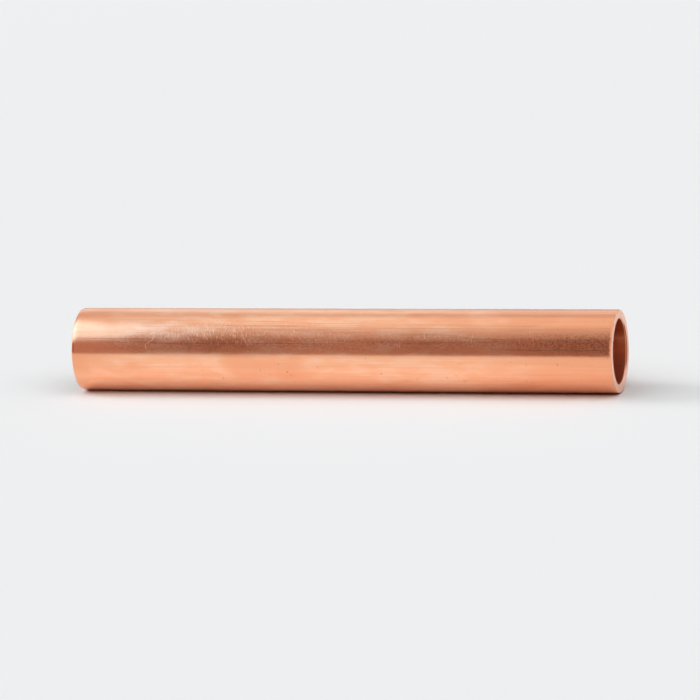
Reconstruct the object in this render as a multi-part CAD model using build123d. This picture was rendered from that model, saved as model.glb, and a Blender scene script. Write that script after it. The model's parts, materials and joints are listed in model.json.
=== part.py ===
from build123d import *
import os

# One straight cut length of thick-walled copper tube, open at both ends.
# It lies on its side: its axis runs along X, and its lowest line rests on the plane z = 0.
# The origin is on that plane, below the middle of the tube. All sizes are in millimetres.

# Driving dimensions of the stock
outside_diameter = 18.0
wall_thickness = 2.0
tube_length = 120.0

# Driving dimensions of the two cut ends, which are alike
rim_draw_length = 0.9
rim_draw_in = 0.16
rim_corner_radius = 0.12
ream_depth = 0.3
ream_width = 0.25

# Worked out from them
outer_radius = outside_diameter / 2
bore_radius = outer_radius - wall_thickness
half_length = tube_length / 2
rim_radius = outer_radius - rim_draw_in


def closing_in_radius():
    """Radius of the arc that leaves the outside in line with it and drops by the draw-in."""
    return (rim_draw_length**2 + rim_draw_in**2) / (2 * rim_draw_in)


def half_section():
    """Wall of the tube cut along its axis, from the middle to one end, as (axial, radial)."""
    middle_inside = (0, bore_radius)
    middle_outside = (0, outer_radius)
    bore_end = (half_length - ream_depth, bore_radius)
    mouth_edge = (half_length, bore_radius + ream_width)
    rim_edge = (half_length, rim_radius)
    outside_end = (half_length - rim_draw_length, outer_radius)

    with BuildSketch(Plane.XZ) as section:
        with BuildLine():
            Polyline(middle_inside, bore_end, mouth_edge, rim_edge)
            RadiusArc(rim_edge, outside_end, -closing_in_radius())
            Polyline(outside_end, middle_outside, middle_inside)
        make_face()
        rim_corner = section.vertices().sort_by(Axis.X)[-2:].sort_by(Axis.Z)[-1]
        fillet(rim_corner, rim_corner_radius)
    return section.sketch


def copper_tube():
    """The whole tube: both half sections turned about the axis, then laid on the plane."""
    one_half = half_section()
    whole_section = one_half + mirror(one_half, about=Plane.YZ)
    turned = revolve(whole_section, axis=Axis.X)
    return Pos(0, 0, outer_radius) * turned


def write_parts():
    os.makedirs("parts", exist_ok=True)
    tube = copper_tube()
    tube.label = "copper_tube"
    export_step(tube, "parts/copper_tube.step")


write_parts()
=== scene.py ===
import json
import math

import bpy
from mathutils import Matrix, Vector, noise


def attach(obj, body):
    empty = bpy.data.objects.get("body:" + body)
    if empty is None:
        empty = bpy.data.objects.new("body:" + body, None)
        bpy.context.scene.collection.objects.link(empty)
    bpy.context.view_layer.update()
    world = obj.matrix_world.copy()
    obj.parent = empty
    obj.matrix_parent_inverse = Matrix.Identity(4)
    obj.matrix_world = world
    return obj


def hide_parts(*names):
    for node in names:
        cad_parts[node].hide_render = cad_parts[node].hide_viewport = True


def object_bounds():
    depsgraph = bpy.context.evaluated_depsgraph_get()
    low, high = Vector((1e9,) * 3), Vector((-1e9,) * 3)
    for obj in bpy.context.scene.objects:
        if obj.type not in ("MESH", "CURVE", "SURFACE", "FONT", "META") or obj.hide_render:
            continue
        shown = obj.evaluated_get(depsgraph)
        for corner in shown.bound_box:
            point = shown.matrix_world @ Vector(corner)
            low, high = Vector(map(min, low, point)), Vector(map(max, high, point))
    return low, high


# One straight cut length of copper tube on its side, on a white studio floor.
# The CAD gives its size. This script adds the fine shape of the surface, the copper and the light.

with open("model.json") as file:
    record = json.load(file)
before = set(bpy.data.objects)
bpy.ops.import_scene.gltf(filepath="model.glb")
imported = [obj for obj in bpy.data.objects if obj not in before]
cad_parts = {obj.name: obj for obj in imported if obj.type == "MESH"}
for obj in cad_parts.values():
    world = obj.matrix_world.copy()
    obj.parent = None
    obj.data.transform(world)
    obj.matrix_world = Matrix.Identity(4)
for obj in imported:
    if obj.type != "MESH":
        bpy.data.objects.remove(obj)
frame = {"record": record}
cad_low, cad_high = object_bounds()

MM = 0.001

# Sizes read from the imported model
NODE = "copper_tube"
BORE_MOUNT = next(m for m in frame["record"]["mounts"] if m["name"] == "bore")
HALF_LENGTH = cad_high[0]
OUTER_RADIUS = BORE_MOUNT["pos_m"][2]
BORE_RADIUS = BORE_MOUNT["dims"]["r_mm"] * MM

# The cut ends, as in the CAD
RIM_DRAW_LENGTH = 0.9 * MM
RIM_DRAW_IN = 0.16 * MM
RIM_CORNER_RADIUS = 0.12 * MM
REAM_DEPTH = 0.3 * MM
REAM_WIDTH = 0.25 * MM

# How finely the mesh is divided
SEGMENTS = 256
BODY_RINGS = 150
BORE_RINGS = 48
FACE_RINGS = 10
REAM_RINGS = 3
RIM_STEPS = 8
CORNER_STEPS = 5

# Edges that turn by more than this many degrees are shaded as sharp
SHARP_FROM = 28.0

# The drawn outside lies inside a true cylinder: by the least depth everywhere, and by up to the
# wave depth more in slow waves, whose size is given along X, Y and Z
LEAST_DEPTH = 0.013 * MM
WAVE_DEPTH = 0.020 * MM
WAVE_SIZE = (9.0 * MM, 3.2 * MM, 3.2 * MM)

# The cut marks on the end faces: their depth, and their size along X, Y and Z
SAW_STEP = 0.012 * MM
SAW_SIZE = (1.0 * MM, 1.6 * MM, 0.5 * MM)

# The edge of the mouth wanders outwards by up to this, in waves of this size
REAM_WOBBLE = 0.06 * MM
REAM_WAVE_SIZE = (1.0 * MM, 2.5 * MM, 2.5 * MM)

# The noise seldom goes past 0.7 either way, so it is raised by this to fill its range
NOISE_GAIN = 1.4

# The camera, fitted to the tube's outline in the photograph, with its angles in degrees
YAW = 15.55
ELEVATION = 13.0
ROLL = -3.30
FOCAL_PIXELS = 5214.0
FRAME_PIXELS = 700
SENSOR_MM = 36.0
DISTANCE = 1127.04 * MM
SHIFT_RIGHT = 0.338 * MM
SHIFT_UP = 0.005 * MM

# The camera sees what is between these distances
SEEN_FROM = 0.01
SEEN_TO = 20.0


# Camera

def camera_axes():
    """The camera's right, up and back directions."""
    yaw, elevation, roll = (math.radians(v) for v in (YAW, ELEVATION, ROLL))
    back = Vector((
        math.sin(yaw) * math.cos(elevation),
        -math.cos(yaw) * math.cos(elevation),
        math.sin(elevation),
    ))
    level = Vector((math.cos(yaw), math.sin(yaw), 0.0))
    upright = level.cross(-back)
    right = math.cos(roll) * level + math.sin(roll) * upright
    up = math.cos(roll) * upright - math.sin(roll) * level
    return right, up, back


def camera_place():
    right, up, back = camera_axes()
    middle = Vector((0.0, 0.0, OUTER_RADIUS))
    return middle + back * DISTANCE + right * SHIFT_RIGHT + up * SHIFT_UP


def make_camera():
    right, up, back = camera_axes()
    data = bpy.data.cameras.new("camera")
    data.sensor_width = SENSOR_MM
    data.lens = FOCAL_PIXELS / FRAME_PIXELS * SENSOR_MM
    data.clip_start = SEEN_FROM
    data.clip_end = SEEN_TO
    camera = bpy.data.objects.new("camera", data)
    turn = Matrix((right, up, back)).transposed().to_4x4()
    camera.matrix_world = Matrix.Translation(camera_place()) @ turn
    bpy.context.collection.objects.link(camera)
    bpy.context.scene.camera = camera


def on_tube(px, py):
    """Where the line of sight through a pixel meets the outside: mm along, mm round from the top."""
    right, up, back = camera_axes()
    middle = FRAME_PIXELS / 2
    ray = -back + right * (px - middle) / FOCAL_PIXELS - up * (py - middle) / FOCAL_PIXELS
    start = camera_place() - Vector((0.0, 0.0, OUTER_RADIUS))
    # Across the tube the line is start + t * ray, and a * t * t + 2 * b * t + c = 0 on the outside
    a = ray.y ** 2 + ray.z ** 2
    b = start.y * ray.y + start.z * ray.z
    c = start.y ** 2 + start.z ** 2 - OUTER_RADIUS ** 2
    hit = start + ray * (-b - math.sqrt(b * b - a * c)) / a
    angle = math.atan2(-hit.y, hit.z)
    return hit.x / MM, angle * OUTER_RADIUS / MM


def rows_between(top_pixel, low_pixel):
    """The strip of the outside between two pixels: its middle and half width, mm round the tube."""
    top, low = on_tube(*top_pixel)[1], on_tube(*low_pixel)[1]
    return (top + low) / 2, (low - top) / 2


# Nodes

# The way in which a noise is shifted to get another one
SHIFT_WAY = (1.0, 1.7, 2.3)


def put(tree, kind, settings=None, **sockets):
    """Adds a node. A socket's value is a number, a tuple, or the output of another node.

    A socket is named with _ for each space, or as i and its number.
    """
    node = tree.nodes.new(kind)
    for name, value in (settings or {}).items():
        setattr(node, name, value)
    for name, value in sockets.items():
        key = int(name[1:]) if name[0] == "i" and name[1:].isdigit() else name.replace("_", " ")
        socket = node.inputs[key]
        if isinstance(value, bpy.types.NodeSocket):
            tree.links.new(value, socket)
        else:
            socket.default_value = value
    return node


def sums(tree, operation, first, second=0.0, clamp=False):
    """One operation on one or two numbers."""
    settings = {"operation": operation, "use_clamp": clamp}
    return put(tree, "ShaderNodeMath", settings, i0=first, i1=second).outputs[0]


def product(tree, *values):
    """All the values multiplied together."""
    total = values[0]
    for value in values[1:]:
        total = sums(tree, "MULTIPLY", total, value)
    return total


def raised(tree, total, *terms):
    """The total plus each term, given as (value, weight)."""
    for value, weight in terms:
        total = sums(tree, "ADD", total, sums(tree, "MULTIPLY", value, weight))
    return total


def most_of(tree, masks):
    """The strongest of several masks."""
    most = masks[0]
    for mask in masks[1:]:
        most = sums(tree, "MAXIMUM", most, mask)
    return most


def vector_sum(tree, operation, first, second, output="Vector"):
    """One operation on two vectors."""
    node = put(tree, "ShaderNodeVectorMath", {"operation": operation}, i0=first, i1=second)
    return node.outputs[output]


def length_of(tree, vector):
    """How long a vector is."""
    return vector_sum(tree, "LENGTH", vector, (0.0, 0.0, 0.0), "Value")


def parts_of(tree, vector):
    """A vector's X, Y and Z."""
    return put(tree, "ShaderNodeSeparateXYZ", None, Vector=vector).outputs


def spread(tree, value, low, high, out_low=0.0, out_high=1.0, smooth=True):
    """Maps low..high to out_low..out_high, held at both ends."""
    kind = "SMOOTHSTEP" if smooth else "LINEAR"
    node = put(
        tree, "ShaderNodeMapRange", {"interpolation_type": kind},
        Value=value, From_Min=low, From_Max=high, To_Min=out_low, To_Max=out_high,
    )
    return node.outputs["Result"]


def dip(tree, value, middle, half, depth):
    """Depth at the middle, falling smoothly to nothing half a width away."""
    off = sums(tree, "ABSOLUTE", sums(tree, "SUBTRACT", value, middle))
    return spread(tree, off, half, 0.0, 0.0, depth)


def blend(tree, factor, first, second):
    """The first colour where the factor is 0, and the second where it is 1."""
    node = put(tree, "ShaderNodeMix", {"data_type": "RGBA"}, i0=factor, i6=first, i7=second)
    return node.outputs[2]


def noise_of(tree, place, stretch, detail, roughness, shift=0.0):
    """Noise with so many waves a millimetre on each axis."""
    moved = vector_sum(tree, "MULTIPLY", place, stretch)
    moved = vector_sum(tree, "ADD", moved, tuple(shift * way for way in SHIFT_WAY))
    node = put(
        tree, "ShaderNodeTexNoise", None,
        Vector=moved, Scale=1.0, Detail=detail, Roughness=roughness,
    )
    return node.outputs["Fac"]


def cells_of(tree, place):
    """The scattered cell at each place of a plane: its middle, how far off that is, and a colour."""
    settings = {"voronoi_dimensions": "2D", "feature": "F1"}
    return put(tree, "ShaderNodeTexVoronoi", settings, Vector=place, Scale=1.0, Randomness=1.0).outputs


def tube_places(tree):
    """Millimetres in space, and millimetres along and round the outside from the top line."""
    seen = put(tree, "ShaderNodeTexCoord").outputs["Object"]
    place = put(tree, "ShaderNodeVectorMath", {"operation": "SCALE"}, i0=seen, Scale=1.0 / MM).outputs[0]
    parts = parts_of(tree, place)
    radius = OUTER_RADIUS / MM
    towards_camera = sums(tree, "MULTIPLY", parts["Y"], -1.0)
    above_axis = sums(tree, "SUBTRACT", parts["Z"], radius)
    angle = sums(tree, "ARCTAN2", towards_camera, above_axis)
    around = sums(tree, "MULTIPLY", angle, radius)
    unrolled = put(tree, "ShaderNodeCombineXYZ", None, X=parts["X"], Y=around).outputs[0]
    return place, unrolled


def new_material(name):
    material = bpy.data.materials.new(name)
    material.use_nodes = True
    tree = material.node_tree
    tree.nodes.clear()
    return material, tree


def end_as_metal(tree, colour, gloss, height):
    """Ends a material as bare metal. The height is in metres."""
    bump = put(tree, "ShaderNodeBump", None, Strength=1.0, Distance=1.0, Height=height).outputs[0]
    shader = put(
        tree, "ShaderNodeBsdfPrincipled", None,
        Base_Color=colour, Metallic=1.0, Roughness=gloss, Normal=bump,
    )
    put(tree, "ShaderNodeOutputMaterial", None, Surface=shader.outputs[0])


# Marks on the copper

# Scratches seen in the photograph, as the pixels that each runs through, and their width in mm
SCRATCHES = (
    (((155, 333), (153, 339), (145, 345), (146, 349)), 0.16),
    (((202, 332), (208, 340)), 0.15),
    (((172, 328), (172, 335)), 0.13),
    (((168, 333), (168, 337)), 0.12),
    (((241, 331), (245, 341)), 0.16),
    (((248, 339), (252, 345)), 0.13),
    (((272, 331), (272, 335)), 0.13),
    (((287, 331), (288, 334)), 0.12),
    (((293, 337), (293, 341)), 0.12),
    (((297, 332), (298, 336)), 0.12),
    (((399, 342), (400, 348)), 0.10),
    (((414, 336), (415, 340)), 0.12),
    (((424, 331), (425, 339)), 0.12),
    (((439, 334), (440, 338)), 0.12),
    (((458, 335), (459, 340)), 0.12),
    (((473, 332), (471, 343)), 0.13),
    (((519, 341), (519, 344)), 0.12),
    (((530, 329), (530, 333)), 0.12),
    (((533, 338), (533, 342)), 0.12),
)

# Long dark draw lines seen in the photograph, as the pixels at their ends, and their width in mm
DRAW_LINES = (
    ((78, 338), (172, 339), 0.16),
    ((95, 342), (160, 342), 0.14),
    ((150, 343), (345, 344), 0.22),
    ((185, 346), (330, 346), 0.15),
    ((200, 340), (290, 340), 0.13),
    ((372, 343), (520, 342), 0.17),
    ((470, 339), (606, 341), 0.20),
    ((500, 350), (606, 351), 0.24),
    ((608, 315), (616, 315), 0.20),
)

# Dark pits seen in the photograph: the pixel of each, and its size across in mm
PITS = (
    ((223, 378), 0.34), ((260, 370), 0.30), ((278, 364), 0.26), ((287, 372), 0.42), ((291, 375), 0.28),
    ((249, 348), 0.30), ((381, 374), 0.34), ((417, 379), 0.26), ((447, 378), 0.28), ((464, 382), 0.26),
    ((510, 362), 0.24), ((526, 381), 0.26), ((526, 365), 0.26), ((557, 365), 0.30), ((456, 376), 0.24),
    ((543, 351), 0.26), ((465, 321), 0.24), ((470, 322), 0.22),
)

# A pit is a stroke this long, in mm
PIT_LENGTH = 0.1

# A stroke is full this far out from its middle, as a share of its half width
STROKE_CORE = 0.35

# Random short scratches, in three sets: degrees from the tube's length, about how long and wide
# each is in mm, the share of the cells that have one, and the shift of the set's cells
TICKS = (
    (82.0, 1.8, 0.048, 0.55, 0.0),
    (103.0, 1.4, 0.045, 0.50, 5.2),
    (58.0, 2.3, 0.050, 0.35, 9.7),
)

# A cell is as long as its scratch and so many times as wide. The distance from its middle is
# scaled by this, and the scratch ends where that comes to 1
TICK_CELL_WIDTHS = 9.0
TICK_SCALE = (2.6, 9.0, 0.0)

# A set's cells shift so many times as far round the tube as along it, and its faintest scratch
# has this strength
TICK_SHIFT_ROUND = 1.3
TICK_LEAST = 0.35

# Random small pits: their spacing and size in mm, the share of the cells that have one, and the
# shift of the cells. Along the tube there are only so many cells for each one round it
SMALL_PITS = (4.2, 0.24, 0.30, 2.0)
PIT_CELLS_ALONG = 0.8

# A random scratch or pit is full this far out from its middle, as a share of its half width
MARK_CORE = 0.4


def stroke_group():
    """A node group: 1 on the line from Start to End, 0 from half a Width away."""
    tree = bpy.data.node_groups.new("stroke", "ShaderNodeTree")
    face = tree.interface
    for name in ("Place", "Start", "End"):
        face.new_socket(name, in_out="INPUT", socket_type="NodeSocketVector")
    face.new_socket("Width", in_out="INPUT", socket_type="NodeSocketFloat")
    face.new_socket("Mask", in_out="OUTPUT", socket_type="NodeSocketFloat")
    given = tree.nodes.new("NodeGroupInput").outputs
    run = vector_sum(tree, "SUBTRACT", given["End"], given["Start"])
    from_start = vector_sum(tree, "SUBTRACT", given["Place"], given["Start"])
    along = vector_sum(tree, "DOT_PRODUCT", from_start, run, "Value")
    whole = vector_sum(tree, "DOT_PRODUCT", run, run, "Value")
    share = sums(tree, "DIVIDE", along, whole, clamp=True)
    nearest = put(tree, "ShaderNodeVectorMath", {"operation": "SCALE"}, i0=run, Scale=share).outputs[0]
    away = vector_sum(tree, "DISTANCE", from_start, nearest, "Value")
    half = sums(tree, "MULTIPLY", given["Width"], 0.5)
    core = sums(tree, "MULTIPLY", half, STROKE_CORE)
    mask = spread(tree, away, half, core)
    put(tree, "NodeGroupOutput", None, Mask=mask)
    return tree


def stroke(tree, group, unrolled, start, end, width):
    """One stroke on the outside, in mm along it and round it."""
    node = put(tree, "ShaderNodeGroup", {"node_tree": group})
    tree.links.new(unrolled, node.inputs["Place"])
    node.inputs["Start"].default_value = (*start, 0.0)
    node.inputs["End"].default_value = (*end, 0.0)
    node.inputs["Width"].default_value = width
    return node.outputs["Mask"]


def strokes(tree, group, unrolled, lines):
    """The strongest of many strokes, each given as (start, end, width).

    Each is taken in as soon as it's made, because a material can hold only so many values at once.
    """
    most = stroke(tree, group, unrolled, *lines[0])
    for line in lines[1:]:
        most = sums(tree, "MAXIMUM", most, stroke(tree, group, unrolled, *line))
    return most


def seen_scratches(tree, group, unrolled):
    """The scratches of the photograph, each a chain of strokes."""
    lines = []
    for pixels, width in SCRATCHES:
        places = [on_tube(*p) for p in pixels]
        lines += [(start, end, width) for start, end in zip(places, places[1:])]
    return strokes(tree, group, unrolled, lines)


def seen_draw_lines(tree, group, unrolled):
    lines = [(on_tube(*start), on_tube(*end), width) for start, end, width in DRAW_LINES]
    return strokes(tree, group, unrolled, lines)


def seen_pits(tree, group, unrolled):
    """The pits of the photograph, each a very short stroke."""
    lines = []
    for pixel, size in PITS:
        along, around = on_tube(*pixel)
        lines.append(((along, around), (along + PIT_LENGTH, around), size))
    return strokes(tree, group, unrolled, lines)


def random_ticks(tree, unrolled, lean, length, width, share, shift):
    """Short scratches that lean so many degrees from the tube's length, on a share of the cells."""
    turned = put(
        tree, "ShaderNodeVectorRotate", {"rotation_type": "Z_AXIS"},
        Vector=unrolled, Angle=math.radians(-lean),
    ).outputs[0]
    cell_width = width * TICK_CELL_WIDTHS
    place = vector_sum(tree, "MULTIPLY", turned, (1.0 / length, 1.0 / cell_width, 1.0))
    place = vector_sum(tree, "ADD", place, (shift, shift * TICK_SHIFT_ROUND, 0.0))
    cells = cells_of(tree, place)
    random = put(tree, "ShaderNodeSeparateColor", None, Color=cells["Color"]).outputs
    offset = vector_sum(tree, "SUBTRACT", place, cells["Position"])
    away = length_of(tree, vector_sum(tree, "MULTIPLY", offset, TICK_SCALE))
    shape = spread(tree, away, 1.0, MARK_CORE)
    chosen = sums(tree, "LESS_THAN", random["Red"], share)
    strength = spread(tree, random["Green"], 0.0, 1.0, TICK_LEAST, 1.0)
    return product(tree, shape, chosen, strength)


def random_pits(tree, unrolled, spacing, size, share, shift):
    """Small round pits, on a share of the cells."""
    place = vector_sum(tree, "MULTIPLY", unrolled, (PIT_CELLS_ALONG / spacing, 1.0 / spacing, 1.0))
    place = vector_sum(tree, "ADD", place, (shift, shift, 0.0))
    cells = cells_of(tree, place)
    random = put(tree, "ShaderNodeSeparateColor", None, Color=cells["Color"]).outputs
    radius = size / spacing / 2.0
    shape = spread(tree, cells["Distance"], radius, radius * MARK_CORE)
    return product(tree, shape, sums(tree, "LESS_THAN", random["Red"], share))


# Copper of the outside

COPPER = (0.965, 0.475, 0.280, 1.0)
COPPER_PALE = (0.975, 0.545, 0.350, 1.0)
COPPER_DEEP = (0.880, 0.370, 0.195, 1.0)
COPPER_LINE = (0.340, 0.135, 0.080, 1.0)
SCRATCH_COPPER = (0.975, 0.510, 0.330, 1.0)
PIT_COPPER = (0.160, 0.060, 0.035, 1.0)

# The noises: waves a millimetre along X, Y and Z, detail, roughness and shift
OUTSIDE_NOISES = {
    "fine_lines": ((0.030, 4.0, 4.0), 3.0, 0.65),
    "broad_lines": ((0.014, 1.3, 1.3), 2.0, 0.5, 7.0),
    "blotches": ((0.16, 0.45, 0.45), 4.0, 0.6, 3.0),
    "patches": ((0.06, 0.12, 0.12), 2.0, 0.5, 11.0),
    "grain": ((3.0, 4.0, 4.0), 2.0, 0.6, 17.0),
    "speckle": ((2.0, 3.2, 3.2), 5.0, 0.75, 23.0),
}

# Rows of pixels between which most scratches lie, on the side that is handled most. They thin out
# from this many mm within those rows to as many beyond them, down to this share
WORN_TOP_PIXEL = (350, 321)
WORN_LOW_PIXEL = (350, 346)
WORN_FADE = 1.0
WORN_LEAST = 0.30

# Rows of pixels between which the dark band near the right end is mottled
BAND_TOP_PIXEL = (590, 336)
BAND_LOW_PIXEL = (590, 352)

# How marks come and go: from this many mm along the tube to that many, and how strong at each
CLEAN_LEFT_END = (-54.0, -42.0, 0.20, 1.0)
TICKS_ALONG = (18.0, -12.0, 0.30, 1.0)
SPECKS_ALONG = (34.0, 56.0, 0.42, 0.85)
TARNISH_ALONG = ((22.0, 54.0, 0.0, 0.75), (-55.0, -59.0, 0.0, 0.40))

# How marks and tones follow a noise: from this value to that one, and how strong at each
TICKS_BY_PATCHES = (0.36, 0.62, 0.35, 1.0)
LINES_BY_FINE_LINES = (0.52, 0.64, 0.0, 1.0)
SEEN_LINES_BY_GRAIN = (0.35, 0.60, 0.45, 1.0)
SPECKS_BY_SPECKLE = (0.44, 0.60, 0.0, 1.0)
PALE_BY_BLOTCHES = (0.42, 0.62, 0.0, 1.0)
DEEP_BY_PATCHES = (0.50, 0.66, 0.0, 0.65)
DEEP_BY_BROAD_LINES = (0.50, 0.64, 0.0, 0.28)
ROUGH_BY_BLOTCHES = (0.3, 0.7, 0.15, 0.20)
ROUGH_BY_FINE_LINES = (0.45, 0.75, 0.0, 0.06)

# How much of its own tone each mark has, and how much rougher it is than the copper round it
RANDOM_LINE_SHARE = 0.50
LINE_TINT = 0.62
SCRATCH_TINT = 0.52
PIT_TINT = 0.50
SCRATCH_ROUGH = 0.17
PIT_ROUGH = 0.20

# How high the fine relief stands, or how deep it is cut
FINE_LINE_HEIGHT = 0.0013 * MM
BROAD_LINE_HEIGHT = 0.0045 * MM
GRAIN_HEIGHT = 0.0006 * MM
TICK_HEIGHT = -0.003 * MM
SMALL_PIT_HEIGHT = -0.010 * MM


def outside_marks(tree, noises, unrolled):
    """How strongly each kind of mark shows on the outside, from 0 to 1."""
    group = stroke_group()
    parts = parts_of(tree, unrolled)
    along, around = parts["X"], parts["Y"]

    worn_middle, worn_half = rows_between(WORN_TOP_PIXEL, WORN_LOW_PIXEL)
    off_middle = sums(tree, "ABSOLUTE", sums(tree, "SUBTRACT", around, worn_middle))
    worn = spread(tree, off_middle, worn_half + WORN_FADE, worn_half - WORN_FADE, WORN_LEAST, 1.0)
    clean = spread(tree, along, *CLEAN_LEFT_END)
    worn = product(tree, worn, clean)

    ticks = most_of(tree, [random_ticks(tree, unrolled, *kind) for kind in TICKS])
    crowding = spread(tree, noises["patches"], *TICKS_BY_PATCHES)
    crowding = product(tree, crowding, spread(tree, along, *TICKS_ALONG))
    ticks = product(tree, ticks, product(tree, crowding, worn))
    scratches = most_of(tree, [ticks, seen_scratches(tree, group, unrolled)])

    small_pits = random_pits(tree, unrolled, *SMALL_PITS)
    pits = most_of(tree, [small_pits, seen_pits(tree, group, unrolled)])

    lines = product(tree, spread(tree, noises["fine_lines"], *LINES_BY_FINE_LINES), worn)
    broken = spread(tree, noises["grain"], *SEEN_LINES_BY_GRAIN)
    seen_lines = product(tree, seen_draw_lines(tree, group, unrolled), broken)
    lines = most_of(tree, [product(tree, lines, RANDOM_LINE_SHARE), seen_lines])

    band_middle, band_half = rows_between(BAND_TOP_PIXEL, BAND_LOW_PIXEL)
    specks = spread(tree, noises["speckle"], *SPECKS_BY_SPECKLE)
    specks = product(tree, specks, spread(tree, along, *SPECKS_ALONG))
    in_band = dip(tree, around, band_middle, 2 * band_half, 1.0)
    specks = product(tree, specks, product(tree, in_band, clean))

    tarnish = most_of(tree, [spread(tree, along, *end) for end in TARNISH_ALONG])
    return {
        "ticks": ticks, "scratches": scratches, "small_pits": small_pits, "pits": pits,
        "lines": lines, "specks": specks, "tarnish": tarnish,
    }


def outside_colour(tree, noises, marks):
    """Pale blotches, deeper patches and bands, tarnish, and then the marks over them."""
    colour = blend(tree, spread(tree, noises["blotches"], *PALE_BY_BLOTCHES), COPPER, COPPER_PALE)
    colour = blend(tree, spread(tree, noises["patches"], *DEEP_BY_PATCHES), colour, COPPER_DEEP)
    colour = blend(tree, spread(tree, noises["broad_lines"], *DEEP_BY_BROAD_LINES), colour, COPPER_DEEP)
    colour = blend(tree, marks["tarnish"], colour, COPPER_DEEP)
    colour = blend(tree, marks["specks"], colour, COPPER_LINE)
    colour = blend(tree, product(tree, marks["lines"], LINE_TINT), colour, COPPER_LINE)
    colour = blend(tree, product(tree, marks["scratches"], SCRATCH_TINT), colour, SCRATCH_COPPER)
    return blend(tree, product(tree, marks["pits"], PIT_TINT), colour, PIT_COPPER)


def outside_gloss(tree, noises, marks):
    """The roughness, which is higher on scratches and pits."""
    gloss = spread(tree, noises["blotches"], *ROUGH_BY_BLOTCHES)
    gloss = sums(tree, "ADD", gloss, spread(tree, noises["fine_lines"], *ROUGH_BY_FINE_LINES))
    return raised(tree, gloss, (marks["scratches"], SCRATCH_ROUGH), (marks["pits"], PIT_ROUGH))


def outside_height(tree, noises, marks):
    """The fine relief. The strokes stay out of it, because the material couldn't hold them twice."""
    height = product(tree, noises["fine_lines"], FINE_LINE_HEIGHT)
    return raised(
        tree, height,
        (noises["broad_lines"], BROAD_LINE_HEIGHT), (noises["grain"], GRAIN_HEIGHT),
        (marks["ticks"], TICK_HEIGHT), (marks["small_pits"], SMALL_PIT_HEIGHT),
    )


def bright_copper():
    """The drawn outside: mirror-like, with draw lines, blotches, short scratches and small pits."""
    material, tree = new_material("copper_drawn")
    place, unrolled = tube_places(tree)
    noises = {name: noise_of(tree, place, *kind) for name, kind in OUTSIDE_NOISES.items()}
    marks = outside_marks(tree, noises, unrolled)
    colour = outside_colour(tree, noises, marks)
    gloss = outside_gloss(tree, noises, marks)
    height = outside_height(tree, noises, marks)
    end_as_metal(tree, colour, gloss, height)
    return material


# Copper of the cut faces

COPPER_CUT = (0.860, 0.540, 0.430, 1.0)
COPPER_CUT_DARK = (0.640, 0.335, 0.245, 1.0)

# The noises, as on the outside
SAW_MARKS = ((1.0, 0.35, 6.0), 3.0, 0.6)
CUT_GRAIN = ((4.0, 4.0, 4.0), 3.0, 0.6, 4.0)

# Painted shade on the end faces, darkest low on their far half: its middle height, half height and
# depth, and where it starts and is full across the face, in mm
CUT_PAINTED_SHADE_UP = (6.8, 6.0, 1.0)
CUT_PAINTED_SHADE_BACK = (2.0, 7.0)

# How the tones and the roughness follow the noises, as on the outside
BRIGHT_BY_GRAIN = (0.40, 0.72, 0.0, 0.5)
DARK_BY_SAW_MARKS = (0.50, 0.66, 0.0, 0.35)
ROUGH_BY_SAW_MARKS = (0.3, 0.7, 0.38, 0.50)

SAW_MARK_HEIGHT = 0.006 * MM
CUT_GRAIN_HEIGHT = 0.003 * MM


def cut_copper():
    """The flat end faces: satin and pinkish, with fine cut marks, and painted shade low on their far
    half.
    """
    material, tree = new_material("copper_cut")
    place, _ = tube_places(tree)
    saw_marks = noise_of(tree, place, *SAW_MARKS)
    grain = noise_of(tree, place, *CUT_GRAIN)
    parts = parts_of(tree, place)
    # Painted shade: the lower far half of each end face is darkened
    darkening = product(tree, dip(tree, parts["Z"], *CUT_PAINTED_SHADE_UP), spread(tree, parts["Y"], *CUT_PAINTED_SHADE_BACK))
    colour = blend(tree, darkening, COPPER_CUT, COPPER_CUT_DARK)
    colour = blend(tree, spread(tree, grain, *BRIGHT_BY_GRAIN), colour, COPPER)
    colour = blend(tree, spread(tree, saw_marks, *DARK_BY_SAW_MARKS), colour, COPPER_CUT_DARK)
    gloss = spread(tree, saw_marks, *ROUGH_BY_SAW_MARKS)
    height = raised(tree, product(tree, saw_marks, SAW_MARK_HEIGHT), (grain, CUT_GRAIN_HEIGHT))
    end_as_metal(tree, colour, gloss, height)
    return material


# Copper of the bore

COPPER_DULL = (0.930, 0.300, 0.135, 1.0)
COPPER_DULL_DEEP = (0.744, 0.240, 0.108, 1.0)
COPPER_PAINTED_GLOW = (1.000, 0.400, 0.190, 1.0)
COPPER_EDGE_PAINTED_SHADE = (0.260, 0.075, 0.032, 1.0)

# The noises, as on the outside
BORE_LINES = ((0.05, 2.6, 2.6), 3.0, 0.6)
BORE_FILM = ((0.12, 0.4, 0.4), 3.0, 0.6, 6.0)

# A painted glow along the bore, a warmer, brighter and rougher strip: its height, half width and
# strength, in mm
BORE_PAINTED_GLOW = (10.3, 1.5, 0.90)
PAINTED_GLOW_ROUGH = 0.10

# The lower part of the bore is darker, from this height above the floor down to that one, in mm
BORE_LOWER = (8.5, 3.5, 0.0, 0.45)

# The mouth's reamed edge starts between these radii, in mm. It is painted dark at the sides, as painted
# shade like the dark inside of the bore, and turns pale between these heights above and below the axis,
# in mm
MOUTH_EDGE = (7.01, 7.12)
EDGE_TURNS_PALE = (3.8, 5.6)
EDGE_TINT = 0.85
EDGE_ROUGH = 0.10

# How the tones and the roughness follow the noises, as on the outside
DULL_BY_FILM = (0.35, 0.70, 0.0, 1.0)
DEEP_BY_BORE_LINES = (0.50, 0.72, 0.0, 0.5)
PAINTED_GLOW_BY_BORE_LINES = (0.35, 0.55, 0.0, 1.0)
ROUGH_BY_FILM = (0.3, 0.7, 0.30, 0.42)

BORE_LINE_HEIGHT = 0.004 * MM


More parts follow.
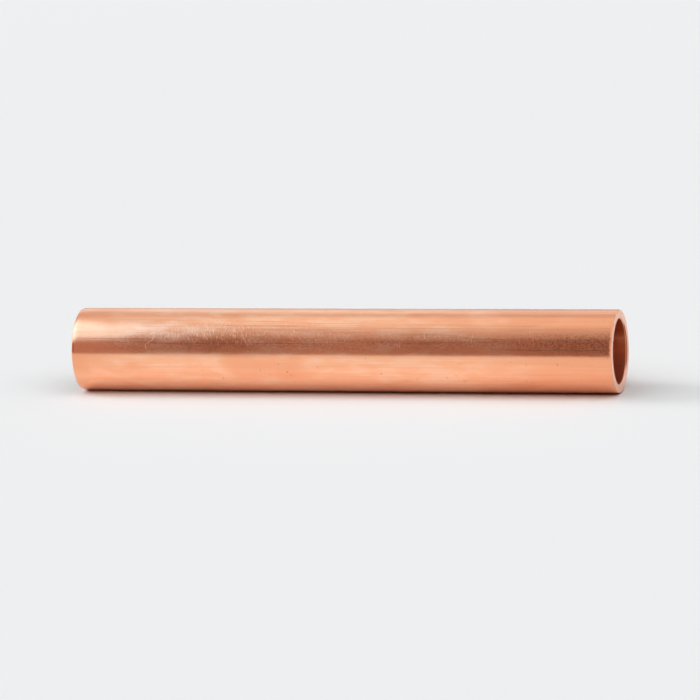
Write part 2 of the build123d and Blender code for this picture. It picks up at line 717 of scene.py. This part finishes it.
def dull_copper():
    """The bore and its reamed edge: darker and duller than the outside, with lengthwise draw lines, a
    painted glow along the bore, and painted shade on the sides of the reamed edge.
    """
    material, tree = new_material("copper_bore")
    place, _ = tube_places(tree)
    lines = noise_of(tree, place, *BORE_LINES)
    darkening = noise_of(tree, place, *BORE_FILM)
    parts = parts_of(tree, place)
    # Painted glow: a warm bright strip at one height along the bore
    painted_glow = dip(tree, parts["Z"], *BORE_PAINTED_GLOW)
    painted_glow = product(tree, painted_glow, spread(tree, lines, *PAINTED_GLOW_BY_BORE_LINES))
    colour = blend(tree, spread(tree, darkening, *DULL_BY_FILM), COPPER_DULL, COPPER_DULL_DEEP)
    colour = blend(tree, spread(tree, lines, *DEEP_BY_BORE_LINES), colour, COPPER_DEEP)
    colour = blend(tree, painted_glow, colour, COPPER_PAINTED_GLOW)
    colour = blend(tree, spread(tree, parts["Z"], *BORE_LOWER), colour, COPPER_LINE)

    above_axis = sums(tree, "SUBTRACT", parts["Z"], OUTER_RADIUS / MM)
    off_axis = put(tree, "ShaderNodeCombineXYZ", None, Y=parts["Y"], Z=above_axis).outputs[0]
    edge = spread(tree, length_of(tree, off_axis), *MOUTH_EDGE)
    pale = spread(tree, sums(tree, "ABSOLUTE", above_axis), *EDGE_TURNS_PALE)
    # Painted shade: the sides of the reamed edge take a dark tone like the inside of the bore
    edge_tone = blend(tree, pale, COPPER_EDGE_PAINTED_SHADE, COPPER_CUT)
    colour = blend(tree, product(tree, edge, EDGE_TINT), colour, edge_tone)

    gloss = spread(tree, darkening, *ROUGH_BY_FILM)
    gloss = raised(tree, gloss, (edge, EDGE_ROUGH), (painted_glow, PAINTED_GLOW_ROUGH))
    end_as_metal(tree, colour, gloss, product(tree, lines, BORE_LINE_HEIGHT))
    return material


# Tube

# The parts of the surface, in the order of their materials
OUTSIDE, CUT, BORE = range(3)


def new_object(name, points, faces, *materials):
    """Adds a mesh in metres, in the CAD's frame."""
    mesh = bpy.data.meshes.new(name)
    mesh.from_pydata(points, [], faces)
    for material in materials:
        mesh.materials.append(material)
    thing = bpy.data.objects.new(name, mesh)
    bpy.context.collection.objects.link(thing)
    return thing


def right_end():
    """Rings of the right end from the outside to the bore, as (part, x, radius)."""
    rings = []
    arc_radius = (RIM_DRAW_LENGTH ** 2 + RIM_DRAW_IN ** 2) / (2 * RIM_DRAW_IN)
    arc_x = HALF_LENGTH - RIM_DRAW_LENGTH
    arc_height = OUTER_RADIUS - arc_radius
    corner_x = HALF_LENGTH - RIM_CORNER_RADIUS
    corner_height = arc_height + math.sqrt(
        (arc_radius - RIM_CORNER_RADIUS) ** 2 - (corner_x - arc_x) ** 2
    )
    turn = math.atan2(corner_x - arc_x, corner_height - arc_height)
    for i in range(1, RIM_STEPS + 1):
        a = turn * i / RIM_STEPS
        rings.append((OUTSIDE, arc_x + arc_radius * math.sin(a), arc_height + arc_radius * math.cos(a)))
    for i in range(1, CORNER_STEPS + 1):
        a = turn + (math.pi / 2 - turn) * i / CORNER_STEPS
        x = corner_x + RIM_CORNER_RADIUS * math.sin(a)
        rings.append((OUTSIDE, x, corner_height + RIM_CORNER_RADIUS * math.cos(a)))
    mouth = BORE_RADIUS + REAM_WIDTH
    for i in range(1, FACE_RINGS + 1):
        share = 0.5 - 0.5 * math.cos(math.pi * i / FACE_RINGS)
        rings.append((CUT, HALF_LENGTH, corner_height + (mouth - corner_height) * share))
    for i in range(1, REAM_RINGS + 1):
        share = i / REAM_RINGS
        rings.append((BORE, HALF_LENGTH - REAM_DEPTH * share, mouth - REAM_WIDTH * share))
    return rings


def tube_rings():
    """The closed line that is turned into the tube: outside, right end, bore, left end."""
    end = right_end()
    body_end = HALF_LENGTH - RIM_DRAW_LENGTH
    bore_end = HALF_LENGTH - REAM_DEPTH
    rings = []
    for i in range(BODY_RINGS + 1):
        rings.append((OUTSIDE, -body_end + 2 * body_end * i / BODY_RINGS, OUTER_RADIUS))
    rings += end
    for i in range(1, BORE_RINGS):
        rings.append((BORE, bore_end - 2 * bore_end * i / BORE_RINGS, BORE_RADIUS))
    rings += [(part, -x, radius) for part, x, radius in reversed(end)]
    return rings


def wave(place, size):
    """Smooth noise from 0 to 1, with waves of about that size along X, Y and Z."""
    scaled = Vector([p / s for p, s in zip(place, size)])
    return 0.5 + 0.5 * max(-1.0, min(1.0, NOISE_GAIN * noise.noise(scaled)))


def unevenness(part, x, radius, angle):
    """How far a point of the surface is from the true shape, as (back from the end, inwards)."""
    place = (x, radius * math.sin(angle), radius * math.cos(angle))
    if part == OUTSIDE:
        return 0.0, LEAST_DEPTH + WAVE_DEPTH * wave(place, WAVE_SIZE)
    if part == BORE:
        return 0.0, 0.0
    from_mouth = (radius - BORE_RADIUS - REAM_WIDTH) / REAM_WIDTH
    wobble = wave(place, REAM_WAVE_SIZE) * math.exp(-from_mouth ** 2)
    return SAW_STEP * wave(place, SAW_SIZE), -REAM_WOBBLE * wobble


def tube_points(rings):
    points = []
    for part, x, radius in rings:
        side = 1.0 if x > 0 else -1.0
        for k in range(SEGMENTS):
            angle = 2 * math.pi * k / SEGMENTS
            along, inwards = unevenness(part, x, radius, angle)
            r = radius - inwards
            points.append((x - side * along, r * math.sin(angle), OUTER_RADIUS + r * math.cos(angle)))
    return points


def tube_faces(rings):
    """The faces between each ring and the next, and the part that each belongs to."""
    faces, parts = [], []
    for i, (part, _, _) in enumerate(rings):
        j = (i + 1) % len(rings)
        joined = max(part, rings[j][0]) if CUT in (part, rings[j][0]) else part
        for k in range(SEGMENTS):
            n = (k + 1) % SEGMENTS
            faces.append((i * SEGMENTS + k, j * SEGMENTS + k, j * SEGMENTS + n, i * SEGMENTS + n))
            parts.append(joined)
    return faces, parts


def make_tube():
    rings = tube_rings()
    faces, parts = tube_faces(rings)
    materials = bright_copper(), cut_copper(), dull_copper()
    tube = new_object("drawn_tube", tube_points(rings), faces, *materials)
    mesh = tube.data
    mesh.polygons.foreach_set("material_index", parts)
    mesh.polygons.foreach_set("use_smooth", [True] * len(faces))
    mesh.set_sharp_from_angle(angle=math.radians(SHARP_FROM))
    mesh.validate()
    mesh.update()
    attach(tube, "root")
    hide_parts(NODE)


# Floor, world and sun

BACKDROP = (0.873, 0.884, 0.892, 1.0)
WHITE = (0.975, 0.975, 0.975, 1.0)
FULL_WHITE = (1.0, 1.0, 1.0, 1.0)

# The floor reaches this far, and turns from matt to the backdrop's even tone between two distances
FLOOR_REACH = 8.0
NEAR_FLOOR = 0.3
FAR_FLOOR = 1.0

# A painted contact shadow darkens the floor along the line of contact, away from the tube's lit
# left end: its middle, half width and depth across the tube, and where it starts and is full along it
PAINTED_CONTACT_SHADOW = (0.0, 3.0 * MM, 0.95)
PAINTED_CONTACT_SHADOW_ALONG = (-48.0 * MM, -12.0 * MM)
PAINTED_CONTACT_SHADOW_TONE = (0.36, 0.23, 0.18, 1.0)

# The room's light: a dome that is bright overhead and dim near the floor, and a soft sun low on
# the left. On a sphere of radius 1, the rise is the height where the dome starts to brighten and
# where it is full, and the fade is how far back it starts to dim and where it has only its share.
DOME_LOW = 0.02
DOME_TOP = 1.77
DOME_RISE = (0.28, 0.62)
DOME_BACK_SHARE = 0.18
DOME_FADE = (-0.30, 0.32)

# Where the sun is, its spread in degrees, and its share of a floor that is fully white
SUN_FROM = (-1.00, 0.06, 0.60)
SUN_SPREAD = 28.0
SUN_SHARE = 0.14


def ray_is(tree, *names):
    """1 where the ray is of one of these kinds."""
    rays = put(tree, "ShaderNodeLightPath").outputs
    return most_of(tree, [rays[n] for n in names])


def white_floor():
    """A matt floor with the tube's shadow and a painted contact shadow under it, which becomes the
    backdrop's even tone far out.
    """
    material, tree = new_material("studio_floor")
    colour = blend(tree, ray_is(tree, "Is Camera Ray"), WHITE, BACKDROP)
    spot = put(tree, "ShaderNodeTexCoord").outputs["Object"]
    parts = parts_of(tree, spot)
    # Painted contact shadow: a dark strip of floor colour along the line where the tube rests
    below = sums(tree, "LESS_THAN", parts["X"], HALF_LENGTH)
    below = product(tree, below, spread(tree, parts["X"], *PAINTED_CONTACT_SHADOW_ALONG))
    painted_contact_shadow = product(tree, below, dip(tree, parts["Y"], *PAINTED_CONTACT_SHADOW))
    near_colour = blend(tree, painted_contact_shadow, colour, PAINTED_CONTACT_SHADOW_TONE)
    lit = put(tree, "ShaderNodeBsdfDiffuse", None, Color=near_colour).outputs[0]
    even = put(tree, "ShaderNodeEmission", None, Color=colour, Strength=1.0).outputs[0]
    far = spread(tree, length_of(tree, spot), NEAR_FLOOR, FAR_FLOOR)
    shader = put(tree, "ShaderNodeMixShader", None, Fac=far, i1=lit, i2=even).outputs[0]
    put(tree, "ShaderNodeOutputMaterial", None, Surface=shader)
    return material


def make_floor():
    r = FLOOR_REACH
    corners = [(-r, -r, 0.0), (r, -r, 0.0), (r, r, 0.0), (-r, r, 0.0)]
    floor = new_object("studio_floor", corners, [(0, 1, 2, 3)], white_floor())


def background(tree, colour, strength):
    return put(tree, "ShaderNodeBackground", None, Color=colour, Strength=strength).outputs[0]


def make_world():
    """The dome lights the floor and the tube. The camera sees the backdrop in its place.

    The copper mirrors a white room instead, but only as the camera sees it: where the copper throws
    light on the floor, a bounce off the floor comes first, and the dome stays.
    """
    world = bpy.data.worlds.new("studio")
    world.use_nodes = True
    tree = world.node_tree
    tree.nodes.clear()
    towards = put(tree, "ShaderNodeTexCoord").outputs["Generated"]
    parts = parts_of(tree, towards)
    strength = spread(tree, parts["Z"], *DOME_RISE, DOME_LOW, DOME_TOP)
    strength = product(tree, strength, spread(tree, parts["Y"], *DOME_FADE, 1.0, DOME_BACK_SHARE))
    mirrored = ray_is(tree, "Is Glossy Ray", "Is Transmission Ray")
    floor_bounces = put(tree, "ShaderNodeLightPath").outputs["Diffuse Depth"]
    mirrored = product(tree, mirrored, sums(tree, "LESS_THAN", floor_bounces, 0.5))
    shader = put(
        tree, "ShaderNodeMixShader", None, Fac=mirrored,
        i1=background(tree, FULL_WHITE, strength), i2=background(tree, WHITE, 1.0),
    ).outputs[0]
    shader = put(
        tree, "ShaderNodeMixShader", None, Fac=ray_is(tree, "Is Camera Ray"),
        i1=shader, i2=background(tree, BACKDROP, 1.0),
    ).outputs[0]
    put(tree, "ShaderNodeOutputWorld", None, Surface=shader)
    bpy.context.scene.world = world


def make_sun():
    """A soft sun that gives the floor its share of full white."""
    aim = Vector(SUN_FROM).normalized()
    data = bpy.data.lights.new("sun_left", "SUN")
    data.angle = math.radians(SUN_SPREAD)
    data.energy = SUN_SHARE * math.pi / aim.z
    sun = bpy.data.objects.new("sun_left", data)
    sun.rotation_mode = "QUATERNION"
    sun.rotation_quaternion = (-aim).to_track_quat("-Z", "Y")
    sun.visible_glossy = False
    bpy.context.collection.objects.link(sun)


# Card

# A curved card round the tube, seen only in its reflections. Up is in degrees from the front, and
# along is in metres.
ARC_RADIUS = 0.30
ARC_LOW = -1.6
ARC_HIGH = 179.0
ARC_STEPS = 60
ARC_HALF_WIDTH = 0.60

# Its dark front: its lower edge slopes down to the right, it ends beyond the tube's right end, and
# it thins out upwards
FRONT_TONE = (0.56, 0.350, 0.305, 1.0)
FRONT_EDGE_ALONG = (-0.160, -0.010)
FRONT_EDGE_UP = (0.0, -1.6)
FRONT_EDGE_SOFT = 0.2
FRONT_THINS_UP = (38.0, 90.0, 1.0, 0.0)
FRONT_ENDS_ALONG = (0.090, 0.150, 1.0, 0.0)

# Darker places on it: their middle and half width along, and their depth
FRONT_DARK = (0.20, 0.130, 0.115, 1.0)
DARK_PLACES = (
    (-0.117, 0.043, 0.90),
    (-0.056, 0.030, 0.72),
    (0.025, 0.130, 0.85),
    (-0.320, 0.120, 1.0),
)

# Its pale grey back starts between these heights
BACK_TONE = (0.70, 0.71, 0.72, 1.0)
BACK_FROM = (82.0, 92.0)

# A dim strip high on the back: its height and depth, and its half width, which narrows along
STRIP_UP = 126.0
STRIP_DEPTH = 0.90
STRIP_ALONG = (-0.140, -0.095, 24.0, 13.0)

# The far wall starts between two heights, and is full from there on, fainter at the left
WALL_UP = (153.0, 167.0, 0.0, 0.85)
WALL_ALONG = (-0.150, -0.090, 0.2, 1.0)

# The darker foot of that wall
FOOT_TONE = (0.34, 0.25, 0.23, 1.0)
FOOT_UP = (171.5, 174.0, 0.0, 0.95)

# A small dim patch beside the window: its middle, half width and depth, along and up
PATCH_ALONG = (-0.1385, 0.024, 1.0)
PATCH_UP = (93.0, 26.0, 1.0)

# A window high on the left: its height, and how its half height and its strength fall off along
WINDOW_TONE = (1.60, 2.35, 3.10, 1.0)
WINDOW_UP = 70.0
WINDOW_HALF_ALONG = (-0.160, -0.130, 42.0, 6.0)
WINDOW_STRENGTH_ALONG = (-0.160, -0.130, 1.0, 0.0)
WINDOW_CORE = 0.45


def card_front(tree, along, up):
    """How much of the room the dark front covers."""
    thinned = spread(tree, up, *FRONT_THINS_UP, smooth=False)
    front = product(tree, thinned, spread(tree, along, *FRONT_ENDS_ALONG))
    edge = spread(tree, along, *FRONT_EDGE_ALONG, *FRONT_EDGE_UP, smooth=False)
    over_edge = sums(tree, "SUBTRACT", up, edge)
    return product(tree, front, spread(tree, over_edge, -FRONT_EDGE_SOFT, FRONT_EDGE_SOFT))


def card_window(tree, along, up):
    """How strongly the window shows."""
    half = spread(tree, along, *WINDOW_HALF_ALONG, smooth=False)
    from_middle = sums(tree, "ABSOLUTE", sums(tree, "SUBTRACT", up, WINDOW_UP))
    window = spread(tree, sums(tree, "DIVIDE", from_middle, half), 1.0, WINDOW_CORE)
    return product(tree, window, spread(tree, along, *WINDOW_STRENGTH_ALONG))


def card_material():
    """Clear where the card shows nothing, so that the white room shows there."""
    material, tree = new_material("studio_card")
    spot = put(tree, "ShaderNodeTexCoord").outputs["Object"]
    parts = parts_of(tree, spot)
    along = parts["X"]
    forward = sums(tree, "MULTIPLY", parts["Y"], -1.0)
    rise = sums(tree, "SUBTRACT", parts["Z"], OUTER_RADIUS)
    up = sums(tree, "DEGREES", sums(tree, "ARCTAN2", rise, forward))

    foot = spread(tree, up, *FOOT_UP)
    dark = most_of(tree, [dip(tree, along, *place) for place in DARK_PLACES])
    tone = blend(tree, dark, FRONT_TONE, FRONT_DARK)
    tone = blend(tree, spread(tree, up, *BACK_FROM), tone, BACK_TONE)
    tone = blend(tree, foot, tone, FOOT_TONE)

    strip = dip(tree, up, STRIP_UP, spread(tree, along, *STRIP_ALONG), STRIP_DEPTH)
    wall = product(tree, spread(tree, up, *WALL_UP), spread(tree, along, *WALL_ALONG))
    patch = product(tree, dip(tree, along, *PATCH_ALONG), dip(tree, up, *PATCH_UP))
    cover = most_of(tree, [card_front(tree, along, up), strip, wall, patch, foot])

    glow = put(tree, "ShaderNodeEmission", None, Color=tone, Strength=1.0).outputs[0]
    clear = put(tree, "ShaderNodeBsdfTransparent").outputs[0]
    shader = put(tree, "ShaderNodeMixShader", None, Fac=cover, i1=clear, i2=glow).outputs[0]
    daylight = put(tree, "ShaderNodeEmission", None, Color=WINDOW_TONE, Strength=1.0).outputs[0]
    shader = put(
        tree, "ShaderNodeMixShader", None,
        Fac=card_window(tree, along, up), i1=shader, i2=daylight,
    ).outputs[0]
    put(tree, "ShaderNodeOutputMaterial", None, Surface=shader)
    return material


def make_card():
    points, faces = [], []
    for i in range(ARC_STEPS + 1):
        a = math.radians(ARC_LOW + (ARC_HIGH - ARC_LOW) * i / ARC_STEPS)
        y, z = -ARC_RADIUS * math.cos(a), OUTER_RADIUS + ARC_RADIUS * math.sin(a)
        points += [(-ARC_HALF_WIDTH, y, z), (ARC_HALF_WIDTH, y, z)]
        if i:
            faces.append((2 * i - 2, 2 * i - 1, 2 * i + 1, 2 * i))
    card = new_object("studio_card", points, faces, card_material())
    card.visible_camera = False
    card.visible_diffuse = False
    card.visible_shadow = False


make_camera()
make_floor()
make_world()
make_card()
make_sun()
make_tube()

bpy.context.scene.view_settings.view_transform = "Standard"
bpy.context.view_layer.update()
